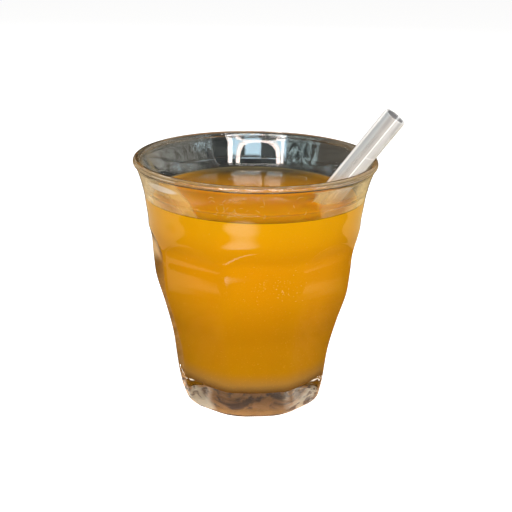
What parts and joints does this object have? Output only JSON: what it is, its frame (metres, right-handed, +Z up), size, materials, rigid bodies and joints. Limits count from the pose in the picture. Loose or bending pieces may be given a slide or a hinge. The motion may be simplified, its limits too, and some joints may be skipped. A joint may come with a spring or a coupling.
{
  "type": "glass of fruit juice",
  "caption": "Clear panelled tumbler of orange juice with a clear drinking straw leaning on its rim.",
  "frame": {"origin": "centre of the tumbler's flat underside, on the surface it stands on", "axes": "+Z up along the tumbler's axis; -Y towards the front; the straw leans to +X and a little to the front"},
  "size_m": [0.0925, 0.0858, 0.1097],
  "materials": {
    "glass": "clear pressed glass, smooth and shiny, with softened ridges",
    "juice": "stands in for cloudy orange juice with a wet, shiny surface",
    "straw": "clear and shiny, slightly misted"
  },
  "bodies": {
    "root": {"glass": "glass", "juice": "juice", "straw": "straw"}
  },
  "joints": []
}
